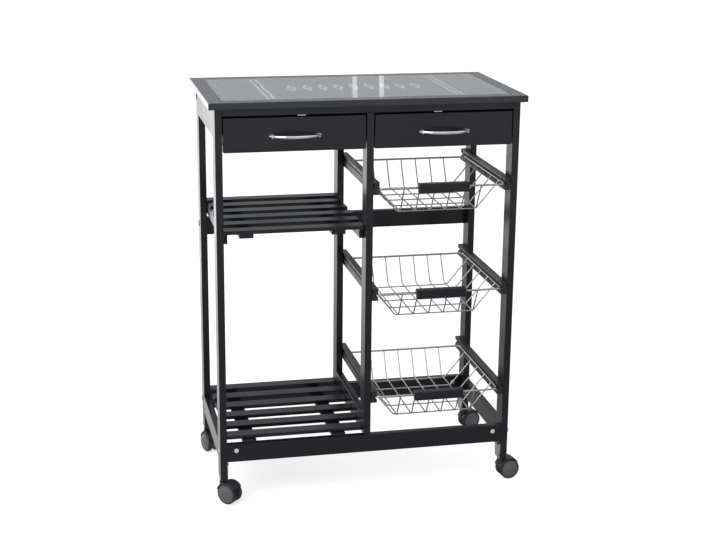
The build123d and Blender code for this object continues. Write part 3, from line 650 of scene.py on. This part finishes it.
def pane(low, high, corner, bevel):
    """A slab with rounded corners: its outline in rings, drawn in along a quarter circle at the edges.

    A ring is the outline drawn in by bevel*(1 - cos(s)) at bevel*(1 - sin(s)) from the face. One more
    ring further in keeps each face flat up to its edge.
    """
    s = np.linspace(math.pi / 2, 0, 4)
    inset = np.append(2 * bevel, bevel * (1 - np.cos(s)))
    depth = np.append(0.0, bevel * (1 - np.sin(s)))
    levels = np.concatenate([low[2] + depth, (high[2] - depth)[::-1]])
    insets = np.concatenate([inset, inset[::-1]])
    middle, half = (low + high)[:2] / 2, (high - low)[:2] / 2
    rings = []
    for level, drawn_in in zip(levels, insets):
        x, y = half - drawn_in
        flat = rectangle(-x, x, -y, y, corner)
        rings.append(np.column_stack([flat + middle, np.full(len(flat), level)]))
    return skin(np.array(rings))


def bow(name, sizes):
    """A bow pull: a bar along an arc, flattest and widest at its middle, on two legs.

    The arc passes through both ends and the middle. The section is an ellipse whose half axes grow
    from the ends with the root of a sine, and the ends close along a quarter circle.
    """
    low, high = node_box(f"{name}_drawer_pull")
    front = node_box(f"{name}_drawer_front")[0][1]
    centre_x, z = (low[0] + high[0]) / 2, (low[2] + high[2]) / 2
    tall, deep, end_half = 3.4 * MM, 3.0 * MM, 2.2 * MM
    half, start = sizes.pull_length / 2, sizes.pull_end_reach
    sagitta = front - low[1] - deep - start
    radius = (half**2 + sagitta**2) / (2 * sagitta)
    chord = radius - sagitta
    t = np.linspace(-1, 1, 57)
    angle = t * math.asin(half / radius)
    bar_y = front - start - (radius * np.cos(angle) - chord)
    path = np.column_stack([centre_x + radius * np.sin(angle), bar_y, np.full(len(t), z)])
    from_end = (1 - np.abs(t)) * half
    closing = np.sqrt(np.clip(1 - np.clip(1 - from_end / end_half, 0, 1) ** 2, 1e-6, 1))
    fullness = np.cos(t * math.pi / 2)[:, None] ** 0.6
    swell = end_half + (np.array((deep, tall)) - end_half) * fullness
    shells = [carried(path, circle(1.0, 24), UP, swell=swell * closing[:, None])]
    core, foot, leg, flare, eased = 0.01 * MM, 4.6 * MM, 3.7 * MM, 1.2 * MM, 0.3 * MM
    leg_reach = start + radius * math.cos(math.asin(sizes.pull_span / 2 / radius)) - chord
    profile = outline(
        [(core, 0), (foot, 0), (foot, flare / 2), (leg, flare * 2), (leg, leg_reach), (core, leg_reach)],
        [0, eased, eased, flare, 0, 0],
    )
    for hand in (-1, 1):
        base = np.array((centre_x + hand * sizes.pull_span / 2, front, z))
        shells.append(turned(profile, base, -Y_AXIS, sides=24, closed=True))
    return shells


def cross_recess(radius, depth):
    """A cross-shaped hollow: full depth within a narrow band of either arm, sloping to its edge."""
    arm, reach = radius * 0.13, radius * 0.62

    def sink(x, y, height):
        near = np.minimum(np.abs(x), np.abs(y))
        far = np.maximum(np.abs(x), np.abs(y))
        across = np.clip((arm * 1.6 - near) / (arm * 0.6), 0, 1)
        return depth * across * np.clip((reach - far) / (radius * 0.12), 0, 1) * (height > 0)

    return sink


def hex_recess(across, depth):
    """A six-sided hollow with steep walls."""

    def sink(x, y, height):
        faces = [np.abs(x * math.cos(a) + y * math.sin(a)) for a in (0, math.pi / 3, 2 * math.pi / 3)]
        off = np.max(faces, axis=0)
        return depth * np.clip((across / 2 - off) / (across * 0.06), 0, 1) * (height > 0)

    return sink


def headed(place, away, head_radius, head_thick, shank_radius, length_under, sink, dome=0.35):
    """A screw or bolt: a shank under a head whose top is head_thick*(1 - dome*r^4), with a hollow."""
    r = np.linspace(0, 1, 16)
    cap = np.column_stack([head_radius * r, head_thick * (1 - dome * r**4)])
    shank = [(shank_radius, 0.0), (shank_radius, -length_under), (0.0, -length_under)]
    profile = np.concatenate([cap, [(head_radius, 0.0)], shank])
    return turned(profile, place, away, sides=48, sink=sink)


def fastener_place(points):
    """A screw's point under its head, the way its head faces, and its sizes, from its solid's points."""
    low, high = points.min(axis=0), points.max(axis=0)
    middle = (low + high) / 2
    axis = int(np.argmax(high - low))
    off = np.linalg.norm(np.delete(points - middle, axis, axis=1), axis=1)
    head_radius, wide = off.max(), off > off.max() * 0.9
    head_low, head_high = points[wide, axis].min(), points[wide, axis].max()
    hand = 1 if head_high > middle[axis] else -1
    away = hand * np.eye(3)[axis]
    place = middle.copy()
    place[axis] = head_low if hand > 0 else head_high
    shank_radius = off[off < head_radius * 0.8].max()
    head_thick = head_high - head_low
    return place, away, head_radius, head_thick, shank_radius, (high - low)[axis] - head_thick


class CART_OT_drawers(bpy.types.Operator):
    """Finish the drawers' insides and make their bow pulls and screws"""

    bl_idname = "cart.drawers"
    bl_label = "Drawers and pulls"

    def execute(self, context):
        finishes, sizes = settings_of(context)
        board = pale_wood("drawer board", finishes.drawer_wood, "Y", 0.45)
        dress(board, [f"{side}_drawer_{part}" for side in SIDES for part in ("box", "bottom")])
        dress(board, ["drawer_slide_strips"])
        chrome = metal_material("polished chrome", finishes.chrome, 0.09, 0.03, (300, 40, 40))
        steel = metal_material("pull screws", finishes.zinc, 0.3, 0.06)
        head, thick, shank, under = 3.8 * MM, 2.4 * MM, 2 * MM, 13 * MM
        for side in SIDES:
            node, body = f"{side}_drawer_pull", f"{side}_drawer"
            make_piece(f"{side}_pull_bow", bow(side, sizes), chrome, body, node)
            inside = node_box(f"{side}_drawer_front")[1][1]
            low, high = node_box(node)
            shells = []
            for hand in (-1, 1):
                x = (low[0] + high[0] + hand * sizes.pull_span) / 2
                place = np.array((x, inside, (low[2] + high[2]) / 2))
                shells.append(headed(place, Y_AXIS, head, thick, shank, under, cross_recess(head, thick / 2)))
            make_piece(f"{side}_pull_screws", shells, steel, body, node)
        return {"FINISHED"}


def basket_shells(tier, sizes):
    """A basket: a rim, wires from front to back, wires from side to side under them, and their welds."""
    low, high = node_box(f"{tier}_basket_wires")
    rim, wire = sizes.rim_radius, sizes.wire_radius
    rim_z, floor_z = high[2] - rim, low[2] + wire
    long_z = floor_z + 2 * wire
    x0, x1, y0, y1 = low[0] + rim, high[0] - rim, low[1] + rim, high[1] - rim
    corners = [(x0, y0, rim_z), (x1, y0, rim_z), (x1, y1, rim_z), (x0, y1, rim_z)]
    rim_route = rounded_route(corners, sizes.rim_corner, closed=True, steps=10)
    shells, welds = [carried(rim_route, circle(rim, 16), UP, closed=True)], []

    def mesh_wire(ends, feet, across):
        """A wire from rim to rim, bent at its feet, with a weld at each end."""
        route = rounded_route([ends[0], *feet, ends[1]], sizes.wire_bend)
        shells.append(carried(route, circle(wire, 12), across))
        welds.extend((end, across) for end in ends)

    butt = rim * 0.8
    side_in, side_z = butt * unit(np.array((sizes.side_taper, floor_z - rim_z)))
    end_in, end_z = butt * unit(np.array((sizes.end_taper, long_z - rim_z)))
    long_xs = (x0 + x1) / 2 + (np.arange(LONG_WIRES) - (LONG_WIRES - 1) / 2) * sizes.wire_pitch
    cross_ys = np.linspace(y0 + sizes.cross_inset, y1 - sizes.cross_inset, CROSS_WIRES)
    for x in long_xs:
        ends = [(x, y0 + end_in, rim_z + end_z), (x, y1 - end_in, rim_z + end_z)]
        mesh_wire(ends, [(x, y0 + sizes.end_taper, long_z), (x, y1 - sizes.end_taper, long_z)], X_AXIS)
        welds += [((x, y, (long_z + floor_z) / 2), UP) for y in cross_ys]
    for y in cross_ys:
        ends = [(x0 + side_in, y, rim_z + side_z), (x1 - side_in, y, rim_z + side_z)]
        mesh_wire(ends, [(x0 + sizes.side_taper, y, floor_z), (x1 - sizes.side_taper, y, floor_z)], Y_AXIS)
    weld = sizes.weld_radius
    return shells + [ball(np.array(place), axis, weld, weld * 0.85) for place, axis in welds]


class CART_OT_baskets(bpy.types.Operator):
    """Weld the three wire baskets and finish their runners"""

    bl_idname = "cart.baskets"
    bl_label = "Wire baskets"

    def execute(self, context):
        finishes, sizes = settings_of(context)
        wire = metal_material("plated wire", finishes.wire, 0.28, 0.08)
        for tier in TIERS:
            shells, body = basket_shells(tier, sizes), f"{tier}_basket"
            make_piece(f"{body}_mesh", shells, wire, body, f"{body}_wires")
        dress(plastic_material("black runner plastic", finishes.runner_plastic, 0.38), ["basket_runners"])
        return {"FINISHED"}


def caster_axes(corner):
    """A caster's axle middle, its axle direction and its forward direction, away from the stem."""
    centre, axis = joint_named(f"{corner}_wheel_1_roll")
    stem, _ = joint_named(f"{corner}_swivel")
    forward = centre - stem
    forward[2] = 0
    return centre, axis, unit(forward)


def around(centre, axis, forward, angles, radial, along):
    """Points at an angle from forward up, a distance out from the axle and a distance along it."""
    out = np.cos(angles)[..., None] * forward + np.sin(angles)[..., None] * UP
    return centre + radial[..., None] * out + along[..., None] * axis


def arched(centre, axis, forward, profile, ease):
    """A profile of (radial, along) pairs carried round the axle, its ends closed along quarter circles."""
    start, end, least = 34, 166, 0.02
    angles = np.linspace(math.radians(start), math.radians(end), 40)
    middle = profile.mean(axis=0)
    run = (angles - angles[0]) * middle[0]
    from_end = np.minimum(run, run[::-1])
    draw = np.sqrt(np.clip(1 - np.clip(1 - from_end / ease, 0, 1) ** 2, least, 1))[:, None]
    half = np.abs(profile - middle).max(axis=0)
    shrink = np.clip((half - ease * (1 - draw)) / half, least, 1)
    flat = middle + (profile - middle)[None] * shrink[:, None]
    turns = np.broadcast_to(angles[:, None], flat.shape[:2])
    return skin(around(centre, axis, forward, turns, flat[..., 0], flat[..., 1]))


def hood_shells(corner, sizes):
    """A caster's hood: an arched cover, a web between the wheels, a hub and a boss for the stem."""
    centre, axis, forward = caster_axes(corner)
    inner, half = sizes.wheel_radius + sizes.hood_gap, sizes.hood_half_width
    web_half, web_start, web_lap = 4.5 * MM, 1 * MM, 0.5 * MM
    hub_bore, hub_radius = 2.6 * MM, 8 * MM
    boss_bore, boss_radius, boss_gap = 3.1 * MM, 8 * MM, 0.4 * MM
    swivel, _ = joint_named(f"{corner}_swivel")
    top = swivel[2] - boss_gap - centre[2]
    cover = rectangle(inner, inner + sizes.hood_thick, -half, half, 0.7 * MM)
    web = rectangle(web_start, inner + web_lap, -web_half, web_half, 0.3 * MM)
    hub = rectangle(hub_bore, hub_radius, -web_half, web_half, 0.4 * MM)
    boss = rectangle(boss_bore, boss_radius, 0, top, np.array((0.1, 0.1, 0.8, 0.2)) * MM)

    def lift(x, y, height):
        """Raises the boss's foot by the wheel's clearance, sqrt(inner^2 - ahead^2), less towards its top."""
        ahead = y * forward[0] - x * forward[1] - sizes.caster_trail
        return -np.sqrt(np.clip(inner**2 - ahead**2, 0, None)) * (1 - height / top)

    return [
        arched(centre, axis, forward, cover, 0.8 * MM),
        arched(centre, axis, forward, web, 0.3 * MM),
        turned(hub, centre, axis, closed=True),
        turned(boss, centre - sizes.caster_trail * forward, UP, closed=True, sink=lift),
    ]


def axle_shell(corner, sizes):
    """A caster's axle pin, with eased ends."""
    centre, axis, _ = caster_axes(corner)
    half, radius, ease = sizes.wheel_inner_gap / 2 + 10.5 * MM, 2.5 * MM, 0.4 * MM
    end = np.array([(0, -half), (radius - ease, -half), (radius, ease - half)])
    return turned(np.concatenate([end, end[::-1] * (1, -1)]), centre, axis, sides=24)


def wheel_side(corner, number):
    """Which way along the axle a wheel lies."""
    centre, axis, _ = caster_axes(corner)
    low, high = node_box(f"{corner}_caster_wheel_{number}")
    return centre, axis * math.copysign(1.0, ((low + high) / 2 - centre) @ axis)


def tyre_shell(corner, number, sizes):
    """A wheel's tread: a crowned ring with two shallow grooves."""
    centre, axis = wheel_side(corner, number)
    inner, radius = sizes.wheel_inner_gap / 2, sizes.wheel_radius
    edge, seat, tread_end = 1.5 * MM, radius - TYRE_DEPTH, inner + 9 * MM
    groove_deep, groove_half, groove_floor = 0.35 * MM, 0.5 * MM, 0.25 * MM
    points = [(seat, inner + RIB_LIFT), (radius - edge, inner), (radius, inner + edge)]
    for middle in (inner + 3.6 * MM, inner + 6.4 * MM):
        points += [(radius, middle - groove_half), (radius - groove_deep, middle - groove_floor)]
        points += [(radius - groove_deep, middle + groove_floor), (radius, middle + groove_half)]
    points += [(radius, tread_end), (seat + 0.8 * MM, tread_end + 2.1 * MM), (seat, tread_end + 1.7 * MM)]
    radii = np.array([0.2, 0.5, 0.9] + [0.08] * 8 + [2.2, 0.5, 0.2]) * MM
    return turned(outline(points, radii, steps=3), centre, axis, sides=64, closed=True)


def dome_shell(corner, number, sizes):
    """A wheel's body: a low dome outside with a ring groove and a cap, and a ribbed back.

    The dome's height falls from the axis as 1 - r^2, less a bell curve at the groove and at the cap.
    """
    centre, axis = wheel_side(corner, number)
    inner, rim = sizes.wheel_inner_gap / 2, sizes.wheel_radius - TYRE_DEPTH
    outer, edge = sizes.wheel_stack / 2, inner + 10.4 * MM
    r = np.linspace(0, rim - 0.3 * MM, 40)
    height = edge + (outer - edge) * (1 - (r / rim) ** 2)
    for place, deep, wide in ((0.74, 0.45 * MM, 0.5 * MM), (0.27, 0.3 * MM, 0.35 * MM)):
        height -= deep * np.exp(-(((r - place * rim) / wide) ** 2))
    rib, web, bore, bore_end = inner + RIB_LIFT, inner + 2 * MM, 2.7 * MM, inner + 11 * MM
    back = [(rim, edge - 0.2 * MM), (rim, inner + 0.6 * MM), (rim - 0.6 * MM, rib), (rim - 2 * MM, rib)]
    back += [(rim - 2.6 * MM, web), (7 * MM, web), (6.4 * MM, rib)]
    back += [(bore, rib), (bore, bore_end), (0, bore_end)]
    return turned(np.concatenate([np.column_stack([r, height]), back]), centre, axis, sides=64)


class CART_OT_casters(bpy.types.Operator):
    """Make the four twin-wheel casters and finish their stems and brackets"""

    bl_idname = "cart.casters"
    bl_label = "Casters"

    def execute(self, context):
        finishes, sizes = settings_of(context)
        hood = plastic_material("hood plastic", finishes.hood_plastic, 0.42)
        dome = plastic_material("wheel plastic", finishes.wheel_plastic, 0.34)
        tyre = plastic_material("tyre plastic", finishes.tyre_plastic, 0.52)
        steel = metal_material("axle steel", finishes.zinc, 0.25, 0.05)
        for corner in CORNERS:
            body, node = f"{corner}_caster", f"{corner}_caster_body"
            make_piece(f"{corner}_hood", hood_shells(corner, sizes), hood, body, node)
            make_piece(f"{corner}_axle", [axle_shell(corner, sizes)], steel, body, node)
            for number in (1, 2):
                body, node = f"{corner}_wheel_{number}", f"{corner}_caster_wheel_{number}"
                make_piece(f"{body}_tyre", [tyre_shell(corner, number, sizes)], tyre, body, node)
                make_piece(f"{body}_dome", [dome_shell(corner, number, sizes)], dome, body, node)
        dress(metal_material("bracket zinc", finishes.zinc, 0.36, 0.08), ["caster_brackets"])
        dress(steel, ["caster_stems"])
        return {"FINISHED"}


class CART_OT_fasteners(bpy.types.Operator):
    """Make the bolts and screws, and finish the cross nuts, dowels and guide plates"""

    bl_idname = "cart.fasteners"
    bl_label = "Fasteners"

    def execute(self, context):
        finishes, _ = settings_of(context)
        steel = metal_material("bright steel", finishes.zinc, 0.24, 0.06)
        key_size, key_depth = 4.6 * MM, 1.6 * MM
        bolts = [
            headed(*fastener_place(points), hex_recess(key_size, key_depth), dome=0.2)
            for points in solids_of("frame_bolts")
        ]
        make_piece("bolts", bolts, steel, "frame", "frame_bolts")
        screws = []
        for points in solids_of("wood_screws"):
            place, away, head, thick, *shank = fastener_place(points)
            screws.append(headed(place, away, head, thick, *shank, cross_recess(head, thick / 2)))
        black = metal_material("blackened screws", finishes.screw, 0.38, 0.08)
        make_piece("screws", screws, black, "frame", "wood_screws")
        dress(metal_material("pale zinc", finishes.nut, 0.42, 0.06, metallic=0.5), ["barrel_nuts"])
        dress(steel, ["drawer_guide_plates"])
        dress(pale_wood("dowel wood", finishes.dowel_wood, "X", 0.6), ["dowels"])
        return {"FINISHED"}


def studio_world(settings):
    """Soft light from all round, and a white room wherever a ray sees the background.

    In gloss the room is white at the left and overhead, grey near the horizon and dimmer elsewhere, as
    beside a window, with two narrow strip lights far behind the cart.
    """
    world = bpy.data.worlds.new("white studio")
    world.use_nodes = True
    tree = world.node_tree
    tree.nodes.clear()
    path = add(tree, "LightPath").outputs
    mirrored = reckon(tree, "MAXIMUM", path["Is Glossy Ray"], path["Is Transmission Ray"])
    seen = reckon(tree, "MAXIMUM", path["Is Camera Ray"], mirrored)
    way = add(tree, "SeparateXYZ", {0: add(tree, "TexCoord").outputs["Generated"]})
    left = remap(tree, way.outputs["X"], 0.0, 1.0, *LEFT_WALL)
    overhead = remap(tree, way.outputs["Z"], settings.dim_gloss, 1.0, *OVERHEAD)
    horizon = remap(tree, way.outputs["Z"], settings.horizon_gloss, settings.dim_gloss, *HORIZON)
    room = reckon(tree, "MAXIMUM", left, reckon(tree, "MAXIMUM", overhead, horizon))
    upright = remap(tree, way.outputs["Z"], 1.0, 0.0, *STRIP_TOP)
    upright = reckon(tree, "MULTIPLY", upright, reckon(tree, "GREATER_THAN", way.outputs["Y"], 0.0))
    for place in STRIP_LIGHTS:
        off = reckon(tree, "ABSOLUTE", reckon(tree, "SUBTRACT", way.outputs["X"], place))
        strip = remap(tree, off, 1.0, 0.0, STRIP_HALF, 2 * STRIP_HALF)
        room = reckon(tree, "MAXIMUM", room, reckon(tree, "MULTIPLY", strip, upright))
    room = reckon(tree, "MAXIMUM", path["Is Camera Ray"], room)
    tint = blend_colours(tree, room, (*settings.dim_tint, 1), (1, 1, 1, 1))
    lit = add(tree, "Background", {"Color": (1, 1, 1, 1), "Strength": settings.ambient})
    white = add(tree, "Background", {"Color": tint, "Strength": room})
    both = add(tree, "MixShader", {0: seen, 1: lit.outputs[0], 2: white.outputs[0]})
    add(tree, "OutputWorld", {"Surface": both.outputs[0]})
    return world


def floor_material(settings):
    """A pale floor that reads white from the lamps' light together with its own glow, and keeps the cart's
    shadow.

    In gloss its glow is painted light, graded by place: white behind and to the left of the cart, dimmer
    at the right and close in front, and brighter again further out in front.
    brighter again further out in front.
    """
    material = bpy.data.materials.new("pale floor")
    material.use_nodes = True
    tree = material.node_tree
    tree.nodes.clear()
    path = add(tree, "LightPath").outputs
    seen = reckon(tree, "MAXIMUM", path["Is Camera Ray"], path["Is Glossy Ray"])
    place = add(tree, "SeparateXYZ", {0: add(tree, "NewGeometry").outputs["Position"]})
    # Painted light: in gloss the floor's glow is graded by place, brighter behind and at the left, dimmer at
    # the right and close in front.
    behind = remap(tree, place.outputs["Y"], 0.0, 1.0, *FLOOR_BEHIND)
    side = remap(tree, place.outputs["X"], 1.0, settings.right_floor_painted_glow, *FLOOR_RIGHT)
    near, far = settings.near_floor_painted_glow, settings.front_floor_painted_glow
    ahead = remap(tree, place.outputs["Y"], near, far, *FLOOR_AHEAD)
    more = reckon(tree, "SUBTRACT", side, ahead)
    painted_gloss_glow = reckon(tree, "MULTIPLY_ADD", behind, more, ahead)
    painted_gloss_glow = reckon(tree, "MAXIMUM", painted_gloss_glow, path["Is Camera Ray"])
    plain = add(tree, "BsdfDiffuse", {"Color": (*settings.floor_colour, 1)})
    glow = add(tree, "Emission", {"Strength": settings.floor_glow})
    shown = add(tree, "AddShader", {0: plain.outputs[0], 1: glow.outputs[0]})
    shared = add(tree, "MixShader", {0: painted_gloss_glow, 2: shown.outputs[0]})
    both = add(tree, "MixShader", {0: seen, 1: plain.outputs[0], 2: shared.outputs[0]})
    add(tree, "OutputMaterial", {"Surface": both.outputs[0]})
    return material


def softbox(name, strength, place, aim, size):
    """A rectangular area light of some watts that faces a point."""
    light = bpy.data.lights.new(name, "AREA")
    light.shape = "RECTANGLE"
    light.size, light.size_y = size
    light.energy = strength
    lamp = placed(name, light)
    lamp.location = place
    lamp.rotation_euler = (Vector(aim) - Vector(place)).to_track_quat("-Z", "Y").to_euler()
    lamp.visible_camera = False


class CART_OT_stage(bpy.types.Operator):
    """Set up the floor, the soft studio light and the camera at the photograph's angle"""

    bl_idname = "cart.stage"
    bl_label = "Floor, light and camera"

    def execute(self, context):
        scene, settings = context.scene, context.scene.cart_stage
        scene.view_settings.view_transform = "Standard"
        scene.world = studio_world(settings)
        mesh = bpy.data.meshes.new("floor")
        corners = FLOOR_HALF * np.array([(-1, -1, 0), (1, -1, 0), (1, 1, 0), (-1, 1, 0)])
        mesh.from_pydata(corners, [], [(0, 1, 2, 3)])
        mesh.materials.append(floor_material(settings))
        floor = placed("floor", mesh)
        softbox("key light", settings.key_power, **KEY_LIGHT)
        softbox("rim light", settings.rim_power, **RIM_LIGHT)
        scene.camera = photo_camera()
        return {"FINISHED"}


def photo_camera():
    """A camera at the photograph's place and angle, worked out from the cart's straight edges.

    Its place is counted from the middle of the glass. Forward is (sin yaw * cos pitch, cos yaw *
    cos pitch, sin pitch), right is (cos yaw, -sin yaw, 0), and both right and up turn about forward
    by the roll.
    """
    low, high = node_box("top_glass")
    glass_middle, from_glass = Vector((*(low + high)[:2] / 2, high[2])), Vector((-0.6593, -3.0299, 0.4661))
    yaw, pitch, roll = 0.2200, -0.2740, 0.0103
    photo_width, photo_height = 716.0, 540.0
    focal_pixels, axis_pixel_x, axis_pixel_y = 1442.9, 360.0, 267.5
    forward = Vector((math.sin(yaw) * math.cos(pitch), math.cos(yaw) * math.cos(pitch), math.sin(pitch)))
    level = Vector((math.cos(yaw), -math.sin(yaw), 0))
    upright = level.cross(forward)
    right = math.cos(roll) * level + math.sin(roll) * upright
    up = -math.sin(roll) * level + math.cos(roll) * upright
    data = bpy.data.cameras.new("camera")
    data.sensor_fit = "HORIZONTAL"
    data.sensor_width = 36.0
    data.lens = focal_pixels / photo_width * data.sensor_width
    data.shift_x = (photo_width / 2 - axis_pixel_x) / photo_width
    data.shift_y = (axis_pixel_y - photo_height / 2) / photo_width
    data.clip_start, data.clip_end = 0.1, 100.0
    camera = placed("camera", data)
    turn = Matrix((right, up, -forward)).transposed()
    camera.matrix_world = Matrix.Translation(glass_middle + from_glass) @ turn.to_4x4()
    return camera


STEPS = (
    CART_OT_boards,
    CART_OT_glass_top,
    CART_OT_drawers,
    CART_OT_baskets,
    CART_OT_casters,
    CART_OT_fasteners,
    CART_OT_stage,
)


class CART_PT_panel(bpy.types.Panel):
    """The cart's pieces and settings"""

    bl_idname = "CART_PT_panel"
    bl_label = "Kitchen cart"
    bl_space_type = "VIEW_3D"
    bl_region_type = "UI"
    bl_category = "Cart"

    def draw(self, context):
        for step in STEPS:
            self.layout.operator(step.bl_idname)
        for group in (context.scene.cart_finishes, context.scene.cart_sizes, context.scene.cart_stage):
            column = self.layout.column(align=True)
            for name in group.__annotations__:
                column.prop(group, name)


GROUPS = {"cart_finishes": CartFinishes, "cart_sizes": CartSizes, "cart_stage": CartStage}


def register():
    """Adds the cart's settings, operators and panel to Blender."""
    for name, group in GROUPS.items():
        bpy.utils.register_class(group)
        setattr(bpy.types.Scene, name, bpy.props.PointerProperty(type=group))
    for made in (*STEPS, CART_PT_panel):
        bpy.utils.register_class(made)


def unregister():
    """Takes them away again."""
    for made in (CART_PT_panel, *reversed(STEPS)):
        bpy.utils.unregister_class(made)
    for name, group in GROUPS.items():
        delattr(bpy.types.Scene, name)
        bpy.utils.unregister_class(group)


def main():
    """Builds the whole cart."""
    register()
    bpy.ops.cart.boards()
    bpy.ops.cart.glass_top()
    bpy.ops.cart.drawers()
    bpy.ops.cart.baskets()
    bpy.ops.cart.casters()
    bpy.ops.cart.fasteners()
    bpy.ops.cart.stage()


if __name__ == "__main__":
    main()
